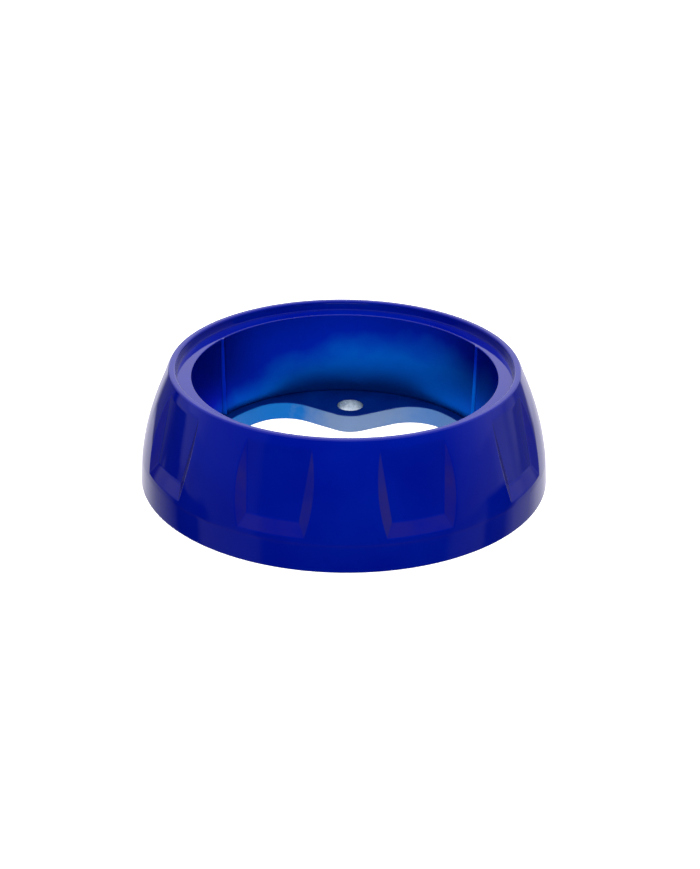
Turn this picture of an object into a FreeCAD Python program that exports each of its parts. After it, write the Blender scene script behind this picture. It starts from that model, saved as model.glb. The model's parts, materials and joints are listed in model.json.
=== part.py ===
"""Flared mounting collar: casing with nine pockets, ribbed bore liner, three-lobed base flange.

Millimetres, +Z up, standing on z = 0 with its axis on Z. One flange lobe points along +Y.
Angles are in degrees, counted from +Y toward +X.
"""
import FreeCAD, Part
import math
import os

os.makedirs("parts", exist_ok=True)

# ---- overall sizes ----
height = 24.8             # base plane to rim
base_r = 42.8             # outer radius at the base
rim_r = 36.35             # outer radius at the rim

# ---- casing ----
wall = 2.4                # thickness of the skin
rim_width = 1.6           # flat top of the rim
rim_lip = 0.5             # overhang that holds the liner down
band_height = 5.6         # lower band, up to the crease
band_lean = 0.42          # radius lost over the lower band
flank_bulge = 0.8         # how far the flank bows out of a straight cone
rim_edge_round = 0.5
base_edge_round = 0.3

# ---- pockets in the flank ----
pocket_count = 9
pocket_top_angle = 20.2   # width at the fading top edge
pocket_foot_angle = 18.6  # width where the shelf meets the flank
pocket_floor_angle = 14.9  # width at the foot of the sunken floor
pocket_depth = 1.05       # sunk at the foot of the floor, along the radius
pocket_below_rim = 1.8    # fading top edge, below the rim
pocket_foot_z = 6.7       # lower edge of the shelf
pocket_shelf_rise = 2.7
pocket_clocking = -3.6    # pocket nearest to the +Y lobe

# ---- bore liner ----
liner_wall = 1.8
ledge_depth = 2.1         # ledge below the rim
ledge_width = 3.15
ledge_thickness = 1.8
rib_count = 3
rib_half_width = 0.62
rib_height_top = 0.38
rib_height_foot = 0.68
rib_clocking = 60.0       # ribs stand midway between the lobes

# ---- base flange ----
flange_thickness = 4.1
flange_lip = 2.0          # flange showing inside the bore, between lobes
lobe_count = 3
hole_pitch_r = 23.75      # circle that carries the screw holes
hole_r = 2.9              # clearance for an M5 screw
lobe_tip_r = 5.75         # rounding of a lobe about its hole
lobe_side_angle = 30.0    # lean of the lobe sides from the tangent
lobe_root_r = 9.0         # hollow rounding at the root of a lobe

# ---- fits ----
fit_gap = 0.0             # liner and flange are pressed and bonded into the casing

seat_r = rim_r - rim_width
collar_r = seat_r + rim_lip
bore_r = seat_r - ledge_width
opening_r = bore_r - flange_lip
ledge_z = height - ledge_depth
collar_foot_z = ledge_z - ledge_thickness
ORIGIN = FreeCAD.Vector(0, 0, 0)
Z_AXIS = FreeCAD.Vector(0, 0, 1)


def rz(radius, z):
    """Point of the section plane."""
    return FreeCAD.Vector(radius, 0, z)


def at(angle, radius, z=0.0):
    """Point at an angle from +Y toward +X."""
    a = math.radians(angle)
    return FreeCAD.Vector(radius * math.sin(a), radius * math.cos(a), z)


def line(a, b):
    return Part.makeLine(a, b)


def arc(a, b, c):
    return Part.Arc(a, b, c).toShape()


def round_corner(start, end, centre):
    """Quarter round from start to end about centre."""
    outward = (start - centre) + (end - centre)
    outward.normalize()
    return arc(start, centre + outward * start.distanceToPoint(centre), end)


def revolve(edges, angle=360.0):
    return Part.Face(Part.Wire(edges)).revolve(ORIGIN, Z_AXIS, angle)


def turned(shape, angle):
    """Copy turned about the axis, in the same sense as at()."""
    copy = shape.copy()
    copy.rotate(ORIGIN, Z_AXIS, -angle)
    return copy


def save(shape, node):
    """Write one valid solid."""
    solids = shape.removeSplitter().Solids
    if len(solids) != 1 or not solids[0].isValid():
        raise RuntimeError("%s is not one valid solid" % node)
    solids[0].exportStep("parts/%s.step" % node)


# ---- flank curve, shared by the casing and its pockets ----
crease = rz(base_r - band_lean, band_height)
rim_edge = rz(rim_r, height - rim_edge_round)
flank_chord = rim_edge - crease
flank_out = FreeCAD.Vector(flank_chord.z, 0, -flank_chord.x).normalize()
flank = arc(crease, (crease + rim_edge) * 0.5 + flank_out * flank_bulge, rim_edge)


def flank_r(z, inset=0.0):
    """Radius of the flank at height z, or of the surface inset below it."""
    centre = flank.Curve.Center
    return centre.x + math.sqrt((flank.Curve.Radius - inset) ** 2 - (z - centre.z) ** 2)


base_bore_r = flank_r(band_height, wall)


def casing():
    """Hollow flared casing with its ring of pockets."""
    base_start = rz(base_r - base_edge_round, 0)
    base_end = rz(base_r, base_edge_round)
    rim_top = rz(rim_r - rim_edge_round, height)
    cavity_top = rz(flank_r(collar_foot_z, wall), collar_foot_z)
    cavity_foot = rz(base_bore_r, band_height)
    middle_z = (collar_foot_z + band_height) / 2
    cavity_middle = rz(flank_r(middle_z, wall), middle_z)
    shell = revolve([
        line(rz(base_bore_r, 0), base_start),
        round_corner(base_start, base_end, rz(base_r - base_edge_round, base_edge_round)),
        line(base_end, crease),
        flank,
        round_corner(rim_edge, rim_top, rz(rim_r - rim_edge_round, height - rim_edge_round)),
        line(rim_top, rz(seat_r, height)),
        line(rz(seat_r, height), rz(seat_r, ledge_z)),
        line(rz(seat_r, ledge_z), rz(collar_r, ledge_z)),
        line(rz(collar_r, ledge_z), rz(collar_r, collar_foot_z)),
        line(rz(collar_r, collar_foot_z), cavity_top),
        arc(cavity_top, cavity_middle, cavity_foot),
        line(cavity_foot, rz(base_bore_r, 0)),
    ])
    cutter = pocket_cutter()
    pitch = 360.0 / pocket_count
    cutters = [turned(cutter, pocket_clocking + i * pitch) for i in range(pocket_count)]
    return shell.cut(cutters)


def beyond_plane(a, b, c, outside):
    """Large block on the outer side of the plane through a, b and c."""
    normal = (b - a).cross(c - a).normalize()
    if normal.dot(outside - a) < 0:
        normal = -normal
    side = 3 * base_r
    block = Part.makeBox(side, side, side, FreeCAD.Vector(-side / 2, -side / 2, 0))
    block.Placement = FreeCAD.Placement(a, FreeCAD.Rotation(Z_AXIS, normal))
    return block


def pocket_cutter():
    """Space outside one pocket: conical floor, sloping shelf and two splayed flat sides."""
    top_z = height - pocket_below_rim
    floor_z = pocket_foot_z + pocket_shelf_rise
    top = rz(flank_r(top_z), top_z)
    floor_foot = rz(flank_r(floor_z) - pocket_depth, floor_z)
    shelf_edge = rz(flank_r(pocket_foot_z), pocket_foot_z)
    clear_r = base_r + 2 * pocket_depth
    sweep = 1.5 * pocket_top_angle
    ring = revolve([
        line(top, floor_foot),
        line(floor_foot, shelf_edge),
        line(shelf_edge, rz(clear_r, pocket_foot_z)),
        line(rz(clear_r, pocket_foot_z), rz(clear_r, top_z)),
        line(rz(clear_r, top_z), top),
    ], sweep)
    cutter = turned(ring, sweep / 2 - 90)
    for sign in (-1, 1):
        top_corner = at(sign * pocket_top_angle / 2, top.x, top.z)
        floor_corner = at(sign * pocket_floor_angle / 2, floor_foot.x, floor_foot.z)
        foot_corner = at(sign * pocket_foot_angle / 2, shelf_edge.x, shelf_edge.z)
        outside = at(sign * 90, base_r)
        cutter = cutter.cut(beyond_plane(top_corner, floor_corner, foot_corner, outside))
    return cutter


def rib_section(depth, z):
    """Triangle standing into the bore on the +Y side."""
    foot_y = bore_r + liner_wall / 2
    left = FreeCAD.Vector(-rib_half_width, foot_y, z)
    right = FreeCAD.Vector(rib_half_width, foot_y, z)
    left_lip = FreeCAD.Vector(-rib_half_width, bore_r, z)
    right_lip = FreeCAD.Vector(rib_half_width, bore_r, z)
    crest = FreeCAD.Vector(0, bore_r - depth, z)
    return Part.makePolygon([left, left_lip, crest, right_lip, right, left])


def liner():
    """Bore tube standing on the flange, ribs down its wall, its top ring tucked under the rim."""
    tube_r = bore_r + liner_wall
    ring_r = collar_r - fit_gap
    tube = revolve([
        line(rz(bore_r, flange_thickness), rz(tube_r, flange_thickness)),
        line(rz(tube_r, flange_thickness), rz(tube_r, collar_foot_z)),
        line(rz(tube_r, collar_foot_z), rz(ring_r, collar_foot_z)),
        line(rz(ring_r, collar_foot_z), rz(ring_r, ledge_z)),
        line(rz(ring_r, ledge_z), rz(bore_r, ledge_z)),
        line(rz(bore_r, ledge_z), rz(bore_r, flange_thickness)),
    ])
    foot = rib_section(rib_height_foot, flange_thickness)
    top = rib_section(rib_height_top, ledge_z)
    rib = Part.makeLoft([foot, top], True, True)
    ribs = [turned(rib, rib_clocking + i * 360.0 / rib_count) for i in range(rib_count)]
    return tube.fuse(ribs)


def lobe_points():
    """Half of one lobe, pointing along +Y: where its tip, side and root meet, and the root centre."""
    side = math.radians(lobe_side_angle)
    normal = FreeCAD.Vector(math.sin(side), -math.cos(side), 0)
    hole = FreeCAD.Vector(0, hole_pitch_r, 0)
    # The root centre lies off the side by lobe_tip_r + lobe_root_r, inside the opening circle.
    foot = hole + normal * (lobe_tip_r + lobe_root_r)
    along = FreeCAD.Vector(math.cos(side), math.sin(side), 0)
    reach = opening_r - lobe_root_r
    b = foot.dot(along)
    root = foot + along * (math.sqrt(b * b - foot.dot(foot) + reach * reach) - b)
    tip = FreeCAD.Vector(0, hole_pitch_r - lobe_tip_r, 0)
    tip_end = hole + normal * lobe_tip_r
    side_end = root - normal * lobe_root_r
    root_end = root * (opening_r / reach)
    return tip, tip_end, side_end, root_end, root


def mirrored(point):
    return FreeCAD.Vector(-point.x, point.y, point.z)


def lobe_edges(angle):
    """Outline of one lobe and of the opening up to the next lobe, turned to its angle."""
    tip, tip_end, side_end, root_end, root = lobe_points()
    start = root_end
    next_turn = 360.0 / lobe_count
    root_angle = math.degrees(math.atan2(root_end.x, root_end.y))
    swell = ((side_end - root) + (root_end - root)).normalize() * lobe_root_r
    root_middle = root + swell
    edges = [
        arc(mirrored(start), mirrored(root_middle), mirrored(side_end)),
        line(mirrored(side_end), mirrored(tip_end)),
        arc(mirrored(tip_end), tip, tip_end),
        line(tip_end, side_end),
        arc(side_end, root_middle, root_end),
        arc(root_end, at(next_turn / 2, opening_r), at(next_turn - root_angle, opening_r)),
    ]
    return [turned(edge, angle) for edge in edges]


def flange():
    """Base plate with the three-lobed opening and a screw hole in each lobe."""
    outline = []
    for i in range(lobe_count):
        outline += lobe_edges(i * 360.0 / lobe_count)
    opening = Part.Wire(Part.sortEdges(outline)[0])
    thickness = Z_AXIS * flange_thickness
    plate = Part.makeCylinder(base_bore_r - fit_gap, flange_thickness)
    cuts = [Part.Face(opening).extrude(thickness)]
    for i in range(lobe_count):
        centre = at(i * 360.0 / lobe_count, hole_pitch_r)
        cuts.append(Part.makeCylinder(hole_r, flange_thickness, centre))
    return plate.cut(cuts)


save(casing(), "outer_shell")
save(liner(), "inner_sleeve")
save(flange(), "mounting_flange")
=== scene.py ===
import json
import math

import bmesh
import bpy
import numpy as np
from mathutils import Matrix, Vector


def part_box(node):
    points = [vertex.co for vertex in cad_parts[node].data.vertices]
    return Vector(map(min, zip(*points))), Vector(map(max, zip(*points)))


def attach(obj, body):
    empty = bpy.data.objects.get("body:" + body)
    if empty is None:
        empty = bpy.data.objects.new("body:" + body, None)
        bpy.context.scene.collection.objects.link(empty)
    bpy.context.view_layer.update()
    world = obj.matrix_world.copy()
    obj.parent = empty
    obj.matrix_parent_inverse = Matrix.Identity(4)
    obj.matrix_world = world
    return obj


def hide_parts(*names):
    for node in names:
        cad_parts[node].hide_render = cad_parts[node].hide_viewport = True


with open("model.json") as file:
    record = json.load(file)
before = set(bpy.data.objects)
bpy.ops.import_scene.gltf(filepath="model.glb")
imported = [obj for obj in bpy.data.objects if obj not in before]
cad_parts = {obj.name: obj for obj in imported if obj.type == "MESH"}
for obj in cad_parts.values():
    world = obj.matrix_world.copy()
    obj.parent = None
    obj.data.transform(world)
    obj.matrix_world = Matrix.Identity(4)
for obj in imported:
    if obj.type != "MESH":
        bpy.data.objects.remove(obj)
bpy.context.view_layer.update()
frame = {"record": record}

MM = 0.001

# ---------------------------------------------------------------- sizes, in metres
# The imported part's boxes and mounts give the sizes in this first group. The other groups repeat the
# part's own values, apart from those with a comment beside them, which only this scene has.
shell_low, shell_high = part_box("outer_shell")
_, sleeve_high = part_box("inner_sleeve")
_, flange_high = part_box("mounting_flange")
mounts = {m["name"]: m for m in frame["record"]["mounts"]}

HEIGHT = shell_high.z
BASE_R = min(shell_high.x, shell_high.y, -shell_low.x, -shell_low.y)
SEAT_R = mounts["rim_seat"]["dims"]["r_mm"] * MM
LEDGE_Z = sleeve_high.z
COLLAR_R = sleeve_high.x
FLANGE_TOP = flange_high.z
FLANGE_R = flange_high.x
HOLE_R = mounts["flange_holes"]["dims"]["hole_r_mm"] * MM
HOLE_PITCH_R = mounts["flange_holes"]["dims"]["pcd_mm"] * MM / 2
LOBES = mounts["flange_holes"]["dims"]["count"]

RIM_R = 36.35 * MM
BORE_R = 31.6 * MM
WALL = 2.4 * MM
LINER_R = 33.4 * MM
LEDGE_THICKNESS = 1.8 * MM
BAND_HEIGHT = 5.6 * MM
BAND_LEAN = 0.42 * MM
FLANK_BULGE = 0.8 * MM
RIM_ROUND = 0.5 * MM
SEAT_FILLET = 0.22 * MM   # paint in the corner between the rim's wall and the ledge
BASE_ROUND = 0.3 * MM
SEAM = 0.18 * MM          # broken edge beside a joint line

POCKETS = 9
POCKET_TOP_ANGLE = 20.2
POCKET_FOOT_ANGLE = 18.6
POCKET_FLOOR_ANGLE = 14.9
POCKET_DEPTH = 1.05 * MM
POCKET_TOP_Z = HEIGHT - 1.8 * MM
POCKET_FOOT_Z = 6.7 * MM
POCKET_FLOOR_Z = POCKET_FOOT_Z + 2.7 * MM
POCKET_CLOCKING = -3.6
POCKET_SOFTNESS = 0.09 * MM   # how far paint rounds the pocket edges
CREASE_WIDTH = 0.25 * MM      # height over which painted shade darkens the crease
CREASE_SHADE = 0.35           # share of painted shade in the crease
SHELF_SHADE = 0.7             # share of painted shade on the pockets' shelves

RIBS = 3
RIB_HALF_WIDTH = 0.62 * MM
RIB_TOP = 0.38 * MM
RIB_FOOT = 0.68 * MM
RIB_CLOCKING = 60.0
RIB_CREST_ROUND = 0.35        # rounding of a rib's crest and feet, in its half widths
RIB_FEET_ROUND = 0.3
RIB_SHADE_AT = 1.1           # middle and spread of the painted shade line at its feet, in half widths
RIB_SHADE_SPREAD = 0.3

OPENING_R = 29.6 * MM
LOBE_TIP_R = 5.75 * MM
LOBE_SIDE_ANGLE = 30.0
LOBE_ROOT_R = 9.0 * MM
FLANGE_ROUND = 0.3 * MM       # softened edge of the opening


# ---------------------------------------------------------------- shape helpers
def smooth_max(a, b, softness):
    """Larger of a and b, rounded where they cross."""
    blend = np.maximum(softness - np.abs(a - b), 0.0) / softness
    return np.maximum(a, b) + blend * blend * softness / 4


def smooth_min(a, b, softness):
    return -smooth_max(-a, -b, softness)


def spread(edges, counts):
    """Values from edges[0] to edges[-1], with counts[i] equal steps in each stretch."""
    parts = [np.linspace(a, b, n, endpoint=False) for a, b, n in zip(edges, edges[1:], counts)]
    return np.concatenate(parts + [np.array([edges[-1]])])


def polar(angle_deg, radius, z=0.0):
    """Point at an angle from +Y toward +X."""
    a = math.radians(angle_deg)
    return Vector((radius * math.sin(a), radius * math.cos(a), z))


def from_nearest(angles, clocking, pitch):
    """Angle, in radians, from the nearest of the features that stand every pitch degrees."""
    turns = np.degrees(angles) - clocking
    return np.radians((turns + pitch / 2) % pitch - pitch / 2)


def columns_round(clocking, pitch, half):
    """Column angles once round, from half of one sector's columns in degrees from its centre."""
    local = np.concatenate([-half[:0:-1], half[:-1]])
    centres = [clocking + k * pitch for k in range(round(360 / pitch))]
    return np.radians(np.concatenate([centre + local for centre in centres]))


# ---------------------------------------------------------------- flank and pockets
crease = np.array([BASE_R - BAND_LEAN, BAND_HEIGHT])
rim_edge = np.array([RIM_R, HEIGHT - RIM_ROUND])
chord = rim_edge - crease
chord_length = np.hypot(*chord)
flank_radius = chord_length ** 2 / (8 * FLANK_BULGE) + FLANK_BULGE / 2
flank_out = np.array([chord[1], -chord[0]]) / chord_length
flank_centre = (crease + rim_edge) / 2 - flank_out * (flank_radius - FLANK_BULGE)


def flank_r(z, inset=0.0):
    """Radius of the plain flank at height z, or of the surface inset below it."""
    return flank_centre[0] + np.sqrt((flank_radius - inset) ** 2 - (z - flank_centre[1]) ** 2)


POCKET_TOP_R = flank_r(POCKET_TOP_Z)
POCKET_FLOOR_R = flank_r(POCKET_FLOOR_Z) - POCKET_DEPTH
POCKET_FOOT_R = flank_r(POCKET_FOOT_Z)


def pocket_floor_r(z):
    """Radius of the pocket's floor at height z, where other faces hide it too."""
    slope = (POCKET_TOP_R - POCKET_FLOOR_R) / (POCKET_TOP_Z - POCKET_FLOOR_Z)
    return POCKET_FLOOR_R + (z - POCKET_FLOOR_Z) * slope


def pocket_shelf_r(z):
    """Radius of the sloping shelf at the pocket's foot."""
    slope = (POCKET_FOOT_R - POCKET_FLOOR_R) / (POCKET_FOOT_Z - POCKET_FLOOR_Z)
    return POCKET_FLOOR_R + (z - POCKET_FLOOR_Z) * slope


def pocket_bottom_r(z, softness):
    """Radius of the pocket's floor and shelf together."""
    return smooth_max(pocket_floor_r(z), pocket_shelf_r(z), softness)


side_top = polar(POCKET_TOP_ANGLE / 2, POCKET_TOP_R, POCKET_TOP_Z)
side_floor = polar(POCKET_FLOOR_ANGLE / 2, POCKET_FLOOR_R, POCKET_FLOOR_Z)
side_foot = polar(POCKET_FOOT_ANGLE / 2, POCKET_FOOT_R, POCKET_FOOT_Z)
side_normal = (side_floor - side_top).cross(side_foot - side_top).normalized()
side_offset = side_normal.dot(side_top)


def side_r(angle, z):
    """Radius at which the pocket's flat side stands, at an angle from the pocket's centre."""
    along = side_normal.x * np.sin(np.abs(angle)) + side_normal.y * np.cos(angle)
    return (side_offset - side_normal.z * z) / along


def side_angle(radius, z):
    """Angle from the pocket's centre at which its side reaches a radius."""
    reach = math.hypot(side_normal.x, side_normal.y)
    cosine = (side_offset - side_normal.z * z) / (radius * reach)
    return math.atan2(side_normal.x, side_normal.y) - np.arccos(np.clip(cosine, -1, 1))


def shell_r(angle, z):
    """Radius of the casing's outside at an angle from a pocket centre."""
    plain = flank_r(z)
    sunk = smooth_max(pocket_bottom_r(z, POCKET_SOFTNESS), side_r(angle, z), POCKET_SOFTNESS)
    return smooth_min(plain, sunk, POCKET_SOFTNESS)


# ---------------------------------------------------------------- profiles and lathe meshes
def rounded_profile(corners):
    """Rows (r, z, normal r, normal z) along a path; corners are (r, z, rounding, steps).

    The path runs clockwise round the solid, with r to the right and z up, so that the outside lies
    on its left hand. The first and last corners only give a direction.
    """
    rows = []
    points = [np.array(c[:2]) for c in corners]
    for before, here, after, corner in zip(points, points[1:], points[2:], corners[1:]):
        into = (here - before) / np.hypot(*(here - before))
        out = (after - here) / np.hypot(*(after - here))
        turn = math.atan2(into[0] * out[1] - into[1] * out[0], into @ out)
        rounding, steps = corner[2:]
        if rounding == 0:
            mid = into + out
            mid = mid / np.hypot(*mid)
            rows.append((*here, -mid[1], mid[0]))
            continue
        reach = rounding * math.tan(abs(turn) / 2)
        start = here - into * reach
        side = math.copysign(1.0, turn)
        centre = start + side * rounding * np.array([-into[1], into[0]])
        for a in np.linspace(0, turn, steps + 1):
            normal = np.array([-into[1] * math.cos(a) - into[0] * math.sin(a),
                               into[0] * math.cos(a) - into[1] * math.sin(a)])
            rows.append((*(centre - side * rounding * normal), *normal))
    return rows


def plain_rows(rows, angles):
    """Positions and normals of round rows at the given column angles."""
    out = []
    sines, cosines = np.sin(angles), np.cos(angles)
    for r, z, nr, nz in rows:
        place = np.stack([r * sines, r * cosines, np.full_like(angles, z)], 1)
        normal = np.stack([nr * sines, nr * cosines, np.full_like(angles, nz)], 1)
        out.append((place, normal))
    return out


def shaped_row(angles, z, radius_of, facing):
    """One row of a surface radius_of(angle, z); facing is 1 for an outside and -1 for a bore."""
    step = 1e-6
    r = radius_of(angles, z)
    slope_z = (radius_of(angles, z + step) - radius_of(angles, z - step)) / (2 * step)
    turn = step / BASE_R
    slope_a = (radius_of(angles + turn, z) - radius_of(angles - turn, z)) / (2 * turn)
    sines, cosines = np.sin(angles), np.cos(angles)
    across = -slope_a / r
    normal = np.stack([sines + across * cosines, cosines - across * sines, -slope_z], 1)
    normal *= facing / np.linalg.norm(normal, axis=1)[:, None]
    return np.stack([r * sines, r * cosines, np.full_like(angles, z)], 1), normal


def ring_mesh(name, rows):
    """Closed mesh from rows of points that run clockwise round the section of a ring."""
    places = np.array([r[0] for r in rows])
    normals = np.array([r[1] for r in rows]).reshape(-1, 3)
    n_rows, n_columns = places.shape[:2]
    index = np.arange(n_rows * n_columns).reshape(n_rows, n_columns)
    below = np.roll(index, -1, 0)
    quads = np.stack([index, np.roll(index, -1, 1), np.roll(below, -1, 1), below], 2).reshape(-1, 4)
    mesh = bpy.data.meshes.new(name)
    mesh.from_pydata(places.reshape(-1, 3).tolist(), [], quads.tolist())
    mesh.polygons.foreach_set("use_smooth", [True] * len(mesh.polygons))
    mesh.normals_split_custom_set_from_vertices(normals.tolist())
    piece = bpy.data.objects.new(name, mesh)
    bpy.context.collection.objects.link(piece)
    return piece


def stands_for(piece, node):
    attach(piece, "root")
    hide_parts(node)


# ---------------------------------------------------------------- casing
PITCH = 360.0 / POCKETS
EDGE_BAND = 0.62          # half width, in degrees, of the fine columns over a pocket edge
LEAST_GAP = 0.7           # least angle, in degrees, between the columns of a side's two edges


def casing_columns(z):
    """Column angles for one row, gathered along the edges of every pocket."""
    level = min(max(z, POCKET_FOOT_Z), POCKET_TOP_Z)
    outer = math.degrees(side_angle(flank_r(level), level))
    inner = math.degrees(side_angle(float(pocket_bottom_r(level, POCKET_SOFTNESS)), level))
    inner = min(inner, outer - LEAST_GAP)
    band = min(EDGE_BAND, 0.4 * (outer - inner))
    half = spread([0, inner - band, inner + band, outer - band, outer + band, PITCH / 2],
                  [8, 6, 4, 6, 8])
    return columns_round(POCKET_CLOCKING, PITCH, half)


def casing_radius(angles, z):
    """Radius of the casing's outside at any angle."""
    return shell_r(from_nearest(angles, POCKET_CLOCKING, PITCH), z)


def painted_recess_shade(mesh):
    """Mark painted shade: on the sides and shelf of every pocket, and in the crease."""
    places = np.array([v.co for v in mesh.vertices])
    z = places[:, 2]
    local = from_nearest(np.arctan2(places[:, 0], places[:, 1]), POCKET_CLOCKING, PITCH)
    soft = POCKET_SOFTNESS
    plain = flank_r(z)
    side = side_r(local, z)
    bottom = pocket_bottom_r(z, soft)
    inside = np.clip((plain - np.maximum(side, bottom)) / soft, 0, 1)
    on_side = np.clip((side - bottom) / soft, 0, 1)
    on_shelf = np.clip((pocket_shelf_r(z) - pocket_floor_r(z)) / soft, 0, 1)
    # Painted shade: a dark band along the crease, added to the pockets' sides and shelves.
    in_crease = CREASE_SHADE * np.exp(-((z - BAND_HEIGHT) / CREASE_WIDTH) ** 2)
    outside = np.hypot(places[:, 0], places[:, 1]) > plain - 1.5 * POCKET_DEPTH
    painted_shade_share = outside * np.maximum(inside * np.maximum(on_side, SHELF_SHADE * on_shelf), in_crease)
    mesh.attributes.new("painted_recess_shade", "FLOAT", "POINT").data.foreach_set("value", painted_shade_share)


def make_casing():
    """Casing: shaped rows down the flank, then plain rows round the foot, the cavity and the rim."""
    top_start = HEIGHT - 0.7 * MM
    flank_foot = BAND_HEIGHT + 0.12 * MM
    rim_corner = (float(flank_r(HEIGHT)), HEIGHT)
    collar_foot = LEDGE_Z - LEDGE_THICKNESS
    below_crease = 0.1    # share of the band's height above its first row
    band_row = (crease[0] + below_crease * (BASE_R - crease[0]), crease[1] * (1 - below_crease), 0, 0)
    pocket_head = [HEIGHT - 1.4 * MM, HEIGHT - 2.6 * MM]
    floor_foot = [POCKET_FLOOR_Z + 0.5 * MM, POCKET_FLOOR_Z - 0.45 * MM]
    shelf_foot = [POCKET_FOOT_Z + 0.4 * MM, POCKET_FOOT_Z - 0.35 * MM]
    heights = spread([top_start, *pocket_head, *floor_foot, *shelf_foot, flank_foot],
                     [3, 8, 26, 10, 5, 10, 4])
    rows = [shaped_row(casing_columns(z), z, casing_radius, 1) for z in heights]
    ends = casing_columns(heights[-1])
    flank_direction = (float(flank_r(flank_foot)), flank_foot, 0, 0)
    cavity = [(float(flank_r(z, WALL)), z, 0, 0)
              for z in np.linspace(BAND_HEIGHT, collar_foot, 12)]
    path = [
        flank_direction,
        (*crease, 0, 0),
        band_row,
        (BASE_R, BASE_ROUND * 3, 0, 0),
        (BASE_R, 0, BASE_ROUND, 8),
        (FLANGE_R + SEAM, 0, 0, 0),
        (FLANGE_R, SEAM, 0, 0),
        *cavity,
        (COLLAR_R, collar_foot, 0, 0),
        (COLLAR_R, LEDGE_Z, 0, 0),
        (SEAT_R - SEAT_FILLET, LEDGE_Z, 0, 0),
        (SEAT_R - 0.3 * SEAT_FILLET, LEDGE_Z + 0.3 * SEAT_FILLET, 0, 0),
        (SEAT_R, LEDGE_Z + SEAT_FILLET, 0, 0),
        (SEAT_R, HEIGHT, RIM_ROUND, 8),
        (*rim_corner, 1.2 * RIM_ROUND, 10),
        (float(flank_r(top_start)), top_start, 0, 0),
    ]
    rows += plain_rows(rounded_profile(path), ends)
    casing = ring_mesh("casing", rows)
    painted_recess_shade(casing.data)
    stands_for(casing, "outer_shell")
    return casing


# ---------------------------------------------------------------- bore liner
def across_rib(angles):
    """Distance from the middle of the nearest rib, in half widths."""
    return np.abs(from_nearest(angles, RIB_CLOCKING, 360.0 / RIBS)) * BORE_R / RIB_HALF_WIDTH


def rib_height(angles, z):
    """How far a rib stands into the bore, at any angle."""
    across = across_rib(angles)
    crest = RIB_FOOT + (RIB_TOP - RIB_FOOT) * (z - FLANGE_TOP) / (LEDGE_Z - FLANGE_TOP)
    ridge = smooth_min(1 - across, 1 + across, RIB_CREST_ROUND)
    return crest * smooth_max(ridge, 0.0, RIB_FEET_ROUND)


def liner_radius(angles, z):
    return BORE_R - rib_height(angles, z)


def make_liner():
    """Liner: shaped rows up the ribbed bore, the rounded ledge edge, then plain rows round the back."""
    fine_reach = 1.6      # half widths of a rib over which the columns are close together
    near = fine_reach * math.degrees(RIB_HALF_WIDTH / BORE_R)
    half = spread([0, near, 180.0 / RIBS], [14, 36])
    columns = columns_round(RIB_CLOCKING, 360.0 / RIBS, half)
    ledge_round = 0.22 * MM
    collar_foot = LEDGE_Z - LEDGE_THICKNESS
    foot_break = 0.3 * MM
    rows = []
    for z in np.linspace(FLANGE_TOP + foot_break, LEDGE_Z - ledge_round, 14):
        rows.append(shaped_row(columns, z, liner_radius, -1))
    wall_place, wall_normal = rows[-1]
    wall_r = np.linalg.norm(wall_place[:, :2], axis=1)
    out = wall_place[:, :2] / wall_r[:, None]
    for a in np.linspace(0, math.pi / 2, 7)[1:]:
        r = wall_r + ledge_round * (1 - math.cos(a))
        z = LEDGE_Z - ledge_round * (1 - math.sin(a))
        place = np.column_stack([out * r[:, None], np.full(len(r), z)])
        normal = wall_normal * math.cos(a) + np.array([0, 0, math.sin(a)])
        rows.append((place, normal / np.linalg.norm(normal, axis=1)[:, None]))
    path = [
        (BORE_R + ledge_round, LEDGE_Z, 0, 0),
        (COLLAR_R, LEDGE_Z, SEAM / 2, 2),
        (COLLAR_R, collar_foot, 0, 0),
        (LINER_R, collar_foot, 0, 0),
        (LINER_R, FLANGE_TOP, 0, 0),
        (BORE_R + foot_break, FLANGE_TOP, 0, 0),
        (BORE_R, FLANGE_TOP + foot_break, 0, 0),
    ]
    rows += plain_rows(rounded_profile(path), columns)
    liner = ring_mesh("bore_liner", rows)
    places = np.array([v.co for v in liner.data.vertices])
    across = across_rib(np.arctan2(places[:, 0], places[:, 1]))
    # Painted shade: a dark line along both feet of every rib.
    corner = np.exp(-((across - RIB_SHADE_AT) / RIB_SHADE_SPREAD) ** 2)
    liner.data.attributes.new("rib_foot_shade", "FLOAT", "POINT").data.foreach_set("value", corner)
    stands_for(liner, "inner_sleeve")
    return liner


# ---------------------------------------------------------------- base flange
def arc_outline(centre, radius, start, end, steps, inward):
    """Points and into-the-metal normals along an arc; angles in radians from +X, ends included."""
    points = []
    for a in np.linspace(start, end, steps + 1):
        ray = np.array([math.cos(a), math.sin(a)])
        points.append((centre + radius * ray, -ray if inward else ray))
    return points


def lobe_outline():
    """Opening outline from the middle of one lobe's tip to the middle of the next gap."""
    lean = math.radians(LOBE_SIDE_ANGLE)
    off = np.array([math.sin(lean), -math.cos(lean)])
    along = np.array([math.cos(lean), math.sin(lean)])
    hole = np.array([0.0, HOLE_PITCH_R])
    foot = hole + off * (LOBE_TIP_R + LOBE_ROOT_R)
    reach = OPENING_R - LOBE_ROOT_R
    b = foot @ along
    root = foot + along * (math.sqrt(b * b - foot @ foot + reach * reach) - b)
    root_angle = math.atan2(root[1], root[0])
    side_angle_from_x = math.atan2(-off[1], -off[0])
    gap_angle = math.pi / 2 - math.pi / LOBES
    tip = arc_outline(hole, LOBE_TIP_R, -math.pi / 2, -math.pi / 2 + lean, 10, True)
    hollow = arc_outline(root, LOBE_ROOT_R, side_angle_from_x, root_angle, 16, False)
    gap = arc_outline(np.zeros(2), OPENING_R, root_angle, gap_angle, 8, False)
    return tip + hollow + gap[1:]


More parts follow.
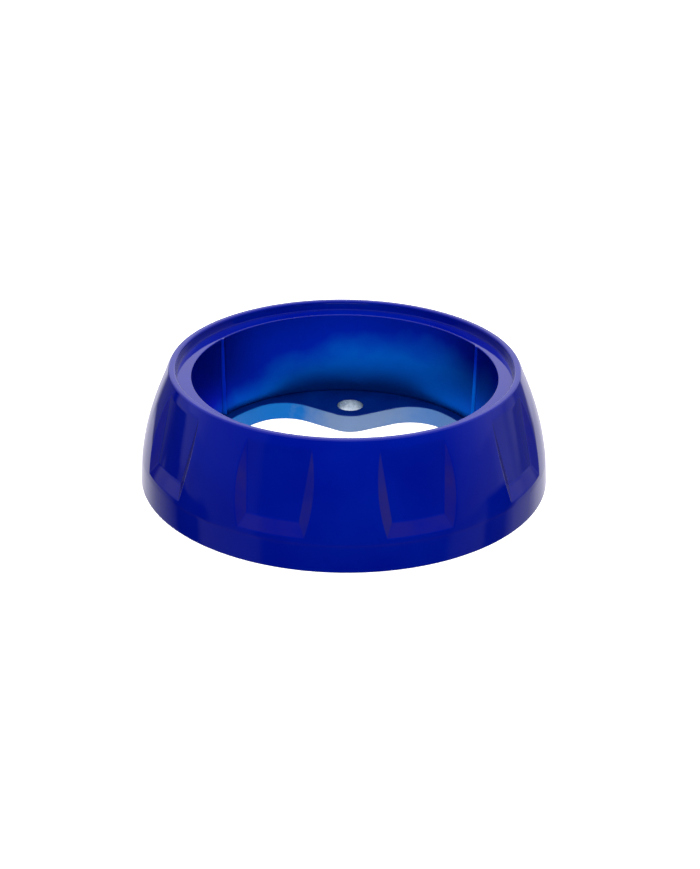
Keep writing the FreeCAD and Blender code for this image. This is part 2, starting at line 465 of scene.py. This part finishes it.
def opening_outline():
    """Whole opening outline, once round."""
    half = lobe_outline()
    mirror = np.array([-1.0, 1.0])
    sector = [(p * mirror, n * mirror) for p, n in half[:0:-1]] + half[:-1]
    outline = []
    for k in range(LOBES):
        a = -2 * math.pi * k / LOBES
        turn = np.array([[math.cos(a), -math.sin(a)], [math.sin(a), math.cos(a)]])
        outline += [(turn @ p, turn @ n) for p, n in sector]
    return outline


def edge_levels(rounding, steps):
    """Inset and height of the loops down an edge that is rounded at its top and foot."""
    top = [(rounding * (1 - math.sin(a)), FLANGE_TOP - rounding * (1 - math.cos(a)))
           for a in np.linspace(0, math.pi / 2, steps + 1)]
    foot = [(inset, FLANGE_TOP - z) for inset, z in top[::-1]]
    return top + foot


def edge_wall(bm, outline, levels):
    """Wall of quads down an edge; returns its first and last loop of edges."""
    loops = []
    for inset, z in levels:
        loops.append([bm.verts.new((*(p + n * inset), z)) for p, n in outline])
    for upper, lower in zip(loops, loops[1:]):
        for i in range(len(outline)):
            j = (i + 1) % len(outline)
            face = bm.faces.new((upper[i], upper[j], lower[j], lower[i]))
            face.smooth = True
    bm.edges.index_update()
    return [[bm.edges.get((loop[i], loop[(i + 1) % len(loop)])) or
             bm.edges.new((loop[i], loop[(i + 1) % len(loop)])) for i in range(len(loop))]
            for loop in (loops[0], loops[-1])]


def make_flange():
    """Flange: rounded walls down the opening, the rim and the holes, joined by two flat faces."""
    hole_round = 0.15 * MM
    bm = bmesh.new()
    tops, feet = [], []
    rim = arc_outline(np.zeros(2), FLANGE_R, 0, 2 * math.pi, 180, True)[:-1]
    edges = [(opening_outline(), edge_levels(FLANGE_ROUND, 5)),
             (rim, [(0, FLANGE_TOP), (0, SEAM), (SEAM, 0)])]
    for k in range(LOBES):
        centre = polar(k * 360.0 / LOBES, HOLE_PITCH_R)
        hole = arc_outline(np.array(centre[:2]), HOLE_R, 0, 2 * math.pi, 56, False)[:-1]
        edges.append((hole, edge_levels(hole_round, 4)))
    for outline, levels in edges:
        top, foot = edge_wall(bm, outline, levels)
        tops += top
        feet += foot
    for loop in (tops, feet):
        filled = bmesh.ops.triangle_fill(bm, edges=loop, use_beauty=True, use_dissolve=False)
        for face in filled["geom"]:
            if isinstance(face, bmesh.types.BMFace):
                face.smooth = True
    bmesh.ops.recalc_face_normals(bm, faces=bm.faces)
    mesh = bpy.data.meshes.new("base_flange")
    bm.to_mesh(mesh)
    bm.free()
    piece = bpy.data.objects.new("base_flange", mesh)
    bpy.context.collection.objects.link(piece)
    weighted = piece.modifiers.new("flat_faces_stay_flat", "WEIGHTED_NORMAL")
    weighted.mode = "FACE_AREA"
    weighted.weight = 100
    stands_for(piece, "mounting_flange")
    return piece


# ---------------------------------------------------------------- node helpers
def new_material(name):
    material = bpy.data.materials.new(name)
    material.use_nodes = True
    nodes = material.node_tree.nodes
    return material, nodes, material.node_tree.links, nodes["Principled BSDF"]


def feed(links, socket, value):
    """Give a socket a link from an output, a number, or an (r, g, b) colour."""
    if isinstance(value, bpy.types.NodeSocket):
        links.new(value, socket)
    elif isinstance(value, tuple):
        socket.default_value = (*value, 1)
    else:
        socket.default_value = value


def combine(nodes, links, operation, *values):
    """Math node; each value is an output or a number."""
    node = nodes.new("ShaderNodeMath")
    node.operation = operation
    for socket, value in zip(node.inputs, values):
        feed(links, socket, value)
    return node.outputs["Value"]


def mix_colours(nodes, links, factor, first, second, blend="MIX"):
    """Colour mix; the factor is an output or a number, and each colour an output or (r, g, b)."""
    node = nodes.new("ShaderNodeMix")
    node.data_type = "RGBA"
    node.blend_type = blend
    feed(links, node.inputs["Factor"], factor)
    feed(links, node.inputs["A"], first)
    feed(links, node.inputs["B"], second)
    return node.outputs["Result"]


def split_vector(nodes, links, vector):
    """The three outputs X, Y and Z of a vector."""
    node = nodes.new("ShaderNodeSeparateXYZ")
    links.new(vector, node.inputs["Vector"])
    return node.outputs


def object_place(nodes):
    """The piece's own coordinates, in metres."""
    return nodes.new("ShaderNodeTexCoord").outputs["Object"]


def object_noise(nodes, links, wavelength, detail=2.0):
    """Noise over the piece's own metres; its bumps are about one wavelength apart."""
    noise = nodes.new("ShaderNodeTexNoise")
    noise.inputs["Scale"].default_value = 1 / wavelength
    noise.inputs["Detail"].default_value = detail
    links.new(object_place(nodes), noise.inputs["Vector"])
    return noise.outputs["Fac"]


def vertex_value(nodes, name):
    """Value stored on the mesh's vertices."""
    stored = nodes.new("ShaderNodeAttribute")
    stored.attribute_name = name
    return stored.outputs["Fac"]


def remap(nodes, links, value, low, high, from_low=0.3, from_high=0.7):
    """The value's range from_low to from_high stretched to run from low to high, and clamped."""
    node = nodes.new("ShaderNodeMapRange")
    node.inputs["From Min"].default_value = from_low
    node.inputs["From Max"].default_value = from_high
    node.inputs["To Min"].default_value = low
    node.inputs["To Max"].default_value = high
    links.new(value, node.inputs["Value"])
    return node.outputs["Result"]


def colour_ramp(nodes, links, value, stops):
    """Grey ramp through (position, level) stops."""
    node = nodes.new("ShaderNodeValToRGB")
    links.new(value, node.inputs["Fac"])
    ramp = node.color_ramp
    while len(ramp.elements) < len(stops):
        ramp.elements.new(0.5)
    for element, (position, level) in zip(ramp.elements, stops):
        element.position = position
        element.color = (level, level, level, 1)
    return node.outputs["Color"]


def bump(nodes, links, height, depth):
    """Normal of a surface whose height swings by depth metres."""
    node = nodes.new("ShaderNodeBump")
    node.inputs["Strength"].default_value = 1.0
    node.inputs["Distance"].default_value = depth
    links.new(height, node.inputs["Height"])
    return node.outputs["Normal"]


def speckle(nodes, links, shader, wavelength, smoothest, roughest):
    """Fine variation of the surface's roughness."""
    grain = object_noise(nodes, links, wavelength)
    links.new(remap(nodes, links, grain, smoothest, roughest), shader.inputs["Roughness"])


# ---------------------------------------------------------------- materials
def gloss_blue():
    """Candy blue: mottled base with painted shade in the pockets and the crease, under a clear coat
    with orange peel.
    """
    material, nodes, links, shader = new_material("gloss_blue_paint")
    cloud = remap(nodes, links, object_noise(nodes, links, 14 * MM, 3), 0, 1)
    body = mix_colours(nodes, links, cloud, (0.0, 0.0032, 0.162), (0.0, 0.0058, 0.186))
    patches = remap(nodes, links, object_noise(nodes, links, 7 * MM, 3), 0.15, 0.65)
    # Painted shade in the pockets and the crease, broken up by noise, mixes the base toward dark
    # violet.
    painted_shade_share = combine(nodes, links, "MULTIPLY", vertex_value(nodes, "painted_recess_shade"), patches)
    links.new(mix_colours(nodes, links, painted_shade_share, body, (0.013, 0.009, 0.09)),
              shader.inputs["Base Color"])
    speckle(nodes, links, shader, 0.25 * MM, 0.28, 0.4)
    shader.inputs["Specular IOR Level"].default_value = 0.0
    shader.inputs["Coat Weight"].default_value = 1.0
    shader.inputs["Coat Roughness"].default_value = 0.02
    shader.inputs["Coat IOR"].default_value = 1.5
    peel = bump(nodes, links, object_noise(nodes, links, 2.4 * MM, 0), 0.007 * MM)
    links.new(peel, shader.inputs["Coat Normal"])
    return material


# The bore's colour is painted reflection and shade, going by height: azure painted reflection low down,
# navy painted shade higher up. Distance to either side counts as a set share of a height, and distance
# toward -X as a further share, so the sides and the -X side get more painted shade.
BORE_LIGHT_Z = 12.5 * MM
BORE_SHADE_Z = 19.5 * MM
BORE_SHADE_SIDES = 0.17
BORE_SHADE_LEAN = 0.2


def satin_blue():
    """Satin metallic blue of the bore with painted reflection and shade: azure low down, navy higher
    up, to both sides and toward -X.
    """
    material, nodes, links, shader = new_material("satin_blue_paint")
    x, _, z = split_vector(nodes, links, object_place(nodes))
    cloud = remap(nodes, links, object_noise(nodes, links, 8 * MM, 3), -1.5 * MM, 1.5 * MM)
    level = combine(nodes, links, "ADD", z, cloud)
    level = combine(nodes, links, "MULTIPLY_ADD", combine(nodes, links, "ABSOLUTE", x),
                    BORE_SHADE_SIDES, level)
    level = combine(nodes, links, "MULTIPLY_ADD", x, -BORE_SHADE_LEAN, level)
    # Painted reflection (azure, low down) and painted shade (navy, higher up, at the sides and toward
    # -X).
    bore_shade = remap(nodes, links, level, 0, 1, BORE_LIGHT_Z, BORE_SHADE_Z)
    coat = mix_colours(nodes, links, bore_shade, (0.0, 0.062, 0.34), (0.0, 0.010, 0.26))
    # Painted shade along the feet of the ribs mixes the bore's colour toward near black.
    corner = remap(nodes, links, vertex_value(nodes, "rib_foot_shade"), 0, 0.75, 0, 1)
    links.new(mix_colours(nodes, links, corner, coat, (0.0, 0.002, 0.06)),
              shader.inputs["Base Color"])
    speckle(nodes, links, shader, 0.3 * MM, 0.34, 0.44)
    shader.inputs["Metallic"].default_value = 0.9
    shader.inputs["Specular IOR Level"].default_value = 0.1
    shader.inputs["Specular Tint"].default_value = (0.15, 0.4, 1.0, 1)
    return material


def flange_blue():
    """Satin blue of the flange's top."""
    material, nodes, links, shader = new_material("flange_blue_paint")
    cloud = remap(nodes, links, object_noise(nodes, links, 5 * MM, 3), 0, 1)
    links.new(mix_colours(nodes, links, cloud, (0.0, 0.0085, 0.11), (0.0, 0.014, 0.135)),
              shader.inputs["Base Color"])
    speckle(nodes, links, shader, 0.3 * MM, 0.34, 0.46)
    shader.inputs["Metallic"].default_value = 0.4
    shader.inputs["Specular IOR Level"].default_value = 0.2
    return material


def flange_edge():
    """Opening's edge with painted light: pale grey-blue over the middle, less toward +X, none toward
    -X, where it stays azure.
    """
    material, nodes, links, shader = new_material("flange_edge_paint")
    x = split_vector(nodes, links, object_place(nodes))["X"]
    cloud = remap(nodes, links, object_noise(nodes, links, 3 * MM, 3), -2 * MM, 2 * MM)
    across = combine(nodes, links, "ADD", x, cloud)
    place_across = remap(nodes, links, across, 0, 1, -20 * MM, 20 * MM)
    # Painted light: the edge turns pale grey-blue from just left of the middle toward +X, half as much
    # far toward +X, and none toward -X.
    edge_light = colour_ramp(nodes, links, place_across, [(0.18, 0), (0.42, 1), (0.7, 1), (0.95, 0.5)])
    links.new(mix_colours(nodes, links, edge_light, (0.0, 0.085, 0.29), (0.095, 0.148, 0.255)),
              shader.inputs["Base Color"])
    speckle(nodes, links, shader, 0.4 * MM, 0.4, 0.55)
    shader.inputs["Metallic"].default_value = 0.3
    shader.inputs["Specular IOR Level"].default_value = 0.1
    return material


def hole_metal():
    """Bare pale metal inside the screw holes."""
    material, nodes, links, shader = new_material("hole_metal")
    cloud = remap(nodes, links, object_noise(nodes, links, 1.2 * MM, 3), 0, 1)
    links.new(mix_colours(nodes, links, cloud, (0.33, 0.39, 0.47), (0.46, 0.52, 0.58)),
              shader.inputs["Base Color"])
    speckle(nodes, links, shader, 0.3 * MM, 0.25, 0.35)
    shader.inputs["Metallic"].default_value = 1.0
    return material


def paint_liner(liner, gloss):
    """Satin in the bore and behind it, and the casing's gloss on the ledge."""
    ledge_edge = 0.2 * MM
    liner.data.materials.append(satin_blue())
    liner.data.materials.append(gloss)
    for face in liner.data.polygons:
        if face.center.z > LEDGE_Z - ledge_edge:
            face.material_index = 1


def paint_flange(flange):
    """Satin on the flat faces, painted light on the opening's edge, and bare metal in the holes."""
    flat_normal = 0.7
    slack = 0.1 * MM
    hole_reach = HOLE_R + 0.5 * MM
    flange.data.materials.append(flange_blue())
    flange.data.materials.append(flange_edge())
    flange.data.materials.append(hole_metal())
    centres = [polar(360 * lobe / LOBES, HOLE_PITCH_R) for lobe in range(LOBES)]
    for face in flange.data.polygons:
        x, y = face.center.x, face.center.y
        if abs(face.normal.z) < flat_normal and math.hypot(x, y) < OPENING_R + slack:
            in_hole = min(math.dist((x, y), centre[:2]) for centre in centres) < hole_reach
            face.material_index = 2 if in_hole else 1


gloss = gloss_blue()
make_casing().data.materials.append(gloss)
paint_liner(make_liner(), gloss)
paint_flange(make_flange())


# ---------------------------------------------------------------- floor, light and camera
def flat_piece(name, points, z, material):
    mesh = bpy.data.meshes.new(name)
    mesh.from_pydata([(x, y, z) for x, y in points], [], [tuple(range(len(points)))])
    mesh.materials.append(material)
    piece = bpy.data.objects.new(name, mesh)
    bpy.context.collection.objects.link(piece)
    return piece


def make_floor():
    """Large pale floor, and a disc of the same paper under the opening.

    Reflections and diffuse light don't see the floor, because the world gives the light from below.
    Every ray sees the disc.
    """
    half = 4.0
    drop = 0.05 * MM
    disc_sides = 64
    material, _, _, shader = new_material("pale_floor")
    shader.inputs["Base Color"].default_value = (0.85, 0.85, 0.85, 1)
    shader.inputs["Roughness"].default_value = 0.9
    shader.inputs["Specular IOR Level"].default_value = 0.0
    shader.inputs["Emission Color"].default_value = (1, 1, 1, 1)
    shader.inputs["Emission Strength"].default_value = 0.7
    corners = [(-half, -half), (half, -half), (half, half), (-half, half)]
    floor = flat_piece("floor", corners, -drop, material)
    floor.visible_glossy = False
    floor.visible_diffuse = False
    angles = [2 * math.pi * i / disc_sides for i in range(disc_sides)]
    circle = [(OPENING_R * math.cos(a), OPENING_R * math.sin(a)) for a in angles]
    flat_piece("paper_disc", circle, 0, material)


def softbox(name, azimuth, elevation, distance, width, height, power):
    """Rectangular light aimed at the collar and unseen in it; azimuth 0 is on the camera's side."""
    data = bpy.data.lights.new(name, "AREA")
    data.shape = "RECTANGLE"
    data.size = width
    data.size_y = height
    data.energy = power
    lamp = bpy.data.objects.new(name, data)
    a, e = math.radians(azimuth), math.radians(elevation)
    toward = Vector((math.sin(a) * math.cos(e), -math.cos(a) * math.cos(e), math.sin(e)))
    lamp.location = toward * distance
    lamp.rotation_euler = toward.to_track_quat("Z", "Y").to_euler()
    lamp.visible_glossy = False
    bpy.context.collection.objects.link(lamp)


def make_camera():
    """Camera at the viewing angle: above the collar, just right of the line through a lobe."""
    azimuth = math.radians(2.8)
    elevation = math.radians(26.07)
    roll = math.radians(0.65)
    distance = 336.8 * MM
    aim = Vector((1.2 * MM, 0, 8.3 * MM))
    forward = Vector((0, math.cos(elevation), -math.sin(elevation)))
    turned = Matrix.Rotation(azimuth, 3, "Z")
    upright = Matrix((Vector((1, 0, 0)), Vector((0, math.sin(elevation), math.cos(elevation))),
                      -forward)).transposed()
    data = bpy.data.cameras.new("camera")
    data.lens = 66.28
    data.sensor_width = 36.0
    data.clip_start = 0.01
    camera = bpy.data.objects.new("camera", data)
    camera.matrix_world = (Matrix.Translation(turned @ (aim - forward * distance))
                           @ (turned @ upright @ Matrix.Rotation(roll, 3, "Z")).to_4x4())
    bpy.context.collection.objects.link(camera)
    bpy.context.scene.camera = camera


# Brightness of the studio's walls, as (azimuth, level) from the camera's side toward +X. Each ring
# of cards starts at a height, given as the sine of its elevation, and the next one covers it from
# there up. The edges between rings rise and fall by RING_RIPPLE and are soft over RING_EDGE.
STUDIO_RINGS = [
    (-1.0, [(-180, 1.1), (-150, 1.0), (-138, 0.9), (-124, 0.5), (-104, 0.12), (-100, 0.01),
            (-84, 0.01), (-80, 0.16), (-44, 0.1), (-40, 0.005), (42, 0.005), (60, 0.01),
            (64, 0.1), (84, 0.16), (88, 0.02), (102, 0.05), (112, 0.4), (128, 0.5),
            (140, 0.9), (180, 1.1)]),
    (-0.29, [(-180, 1.2), (-150, 1.1), (-143, 0.12), (-128, 0.1), (-120, 0.02), (-76, 0.005),
             (-71, 0.08), (-46, 0.06), (-43, 0.005), (60, 0.005), (64, 0.05), (84, 0.09),
             (88, 0.005), (112, 0.005), (116, 0.1), (142, 0.12), (147, 1.1), (180, 1.2)]),
    (-0.19, [(-180, 1.2), (-152, 1.1), (-145, 0.14), (-131, 0.1), (-127, 0.09), (-124, 0.01),
             (-121, 0.01), (-118, 0.26), (-96, 0.22), (-88, 0.12), (-46, 0.06), (-43, 0.005),
             (46, 0.005), (64, 0.03), (67, 0.08), (94, 0.22), (100, 0.36), (112, 0.34), (116, 0.22),
             (121, 0.3), (128, 0.32), (131, 0.12), (146, 0.16), (151, 1.2), (180, 1.2)]),
    (0.08, [(-180, 1.25), (-146, 1.1), (-132, 0.34), (-100, 0.34), (-84, 0.14), (-46, 0.06),
            (-43, 0.005), (46, 0.005), (66, 0.05), (84, 0.2), (100, 0.42), (132, 0.42),
            (146, 1.1), (180, 1.25)]),
]
RING_RIPPLE = 0.04
RING_EDGE = 0.018
CEILING_TILT = 0.35                   # the ceiling comes lower toward +Y, by this share of Y
CEILING_FROM, CEILING_FULL = 0.42, 0.5
CEILING_LEVEL = 0.5
TABLE_LEVEL = 0.9                     # light that comes up from the table, to diffuse rays only
TABLE_EDGE = 0.1
STUDIO_TINT = (1.0, 0.975, 1.1)
BACKDROP = (1, 1, 1)                  # what the camera itself sees


def make_world():
    """Studio around the collar: bright behind, dark toward the camera, with a pale ceiling."""
    world = bpy.data.worlds.new("studio")
    world.use_nodes = True
    nodes, links = world.node_tree.nodes, world.node_tree.links
    direction = nodes.new("ShaderNodeTexCoord").outputs["Generated"]
    x, y, z = split_vector(nodes, links, direction)
    azimuth = combine(nodes, links, "ARCTAN2", x, combine(nodes, links, "MULTIPLY", y, -1.0))
    around = remap(nodes, links, azimuth, 0, 1, -math.pi, math.pi)
    ripple = nodes.new("ShaderNodeTexNoise")
    ripple.inputs["Scale"].default_value = 4.0
    ripple.inputs["Detail"].default_value = 0.5
    links.new(direction, ripple.inputs["Vector"])
    wave = remap(nodes, links, ripple.outputs["Fac"], -RING_RIPPLE, RING_RIPPLE)
    height = combine(nodes, links, "ADD", z, wave)
    rings = [colour_ramp(nodes, links, around, [((a + 180) / 360, level) for a, level in cards])
             for _, cards in STUDIO_RINGS]
    seen = rings[0]
    for ring, (start, _) in zip(rings[1:], STUDIO_RINGS[1:]):
        above = remap(nodes, links, height, 0, 1, start - RING_EDGE, start + RING_EDGE)
        seen = mix_colours(nodes, links, above, seen, ring)
    overhead = combine(nodes, links, "MULTIPLY_ADD", y, CEILING_TILT, z)
    ceiling = remap(nodes, links, overhead, 0, CEILING_LEVEL, CEILING_FROM, CEILING_FULL)
    seen = mix_colours(nodes, links, 1.0, seen, ceiling, "LIGHTEN")
    ray = nodes.new("ShaderNodeLightPath")
    table = remap(nodes, links, z, TABLE_LEVEL, 0, -TABLE_EDGE, 0)
    seen = mix_colours(nodes, links, ray.outputs["Is Diffuse Ray"], seen, table, "LIGHTEN")
    seen = mix_colours(nodes, links, 1.0, seen, STUDIO_TINT, "MULTIPLY")
    seen = mix_colours(nodes, links, ray.outputs["Is Camera Ray"], seen, BACKDROP)
    links.new(seen, nodes["Background"].inputs["Color"])
    nodes["Background"].inputs["Strength"].default_value = 1.0
    bpy.context.scene.world = world


make_floor()
make_camera()
make_world()
softbox("key_light", azimuth=6, elevation=42, distance=0.9, width=0.45, height=0.35, power=8.6)
softbox("top_light", azimuth=0, elevation=90, distance=0.8, width=0.5, height=0.5, power=6.0)
bpy.context.scene.view_settings.view_transform = "Standard"
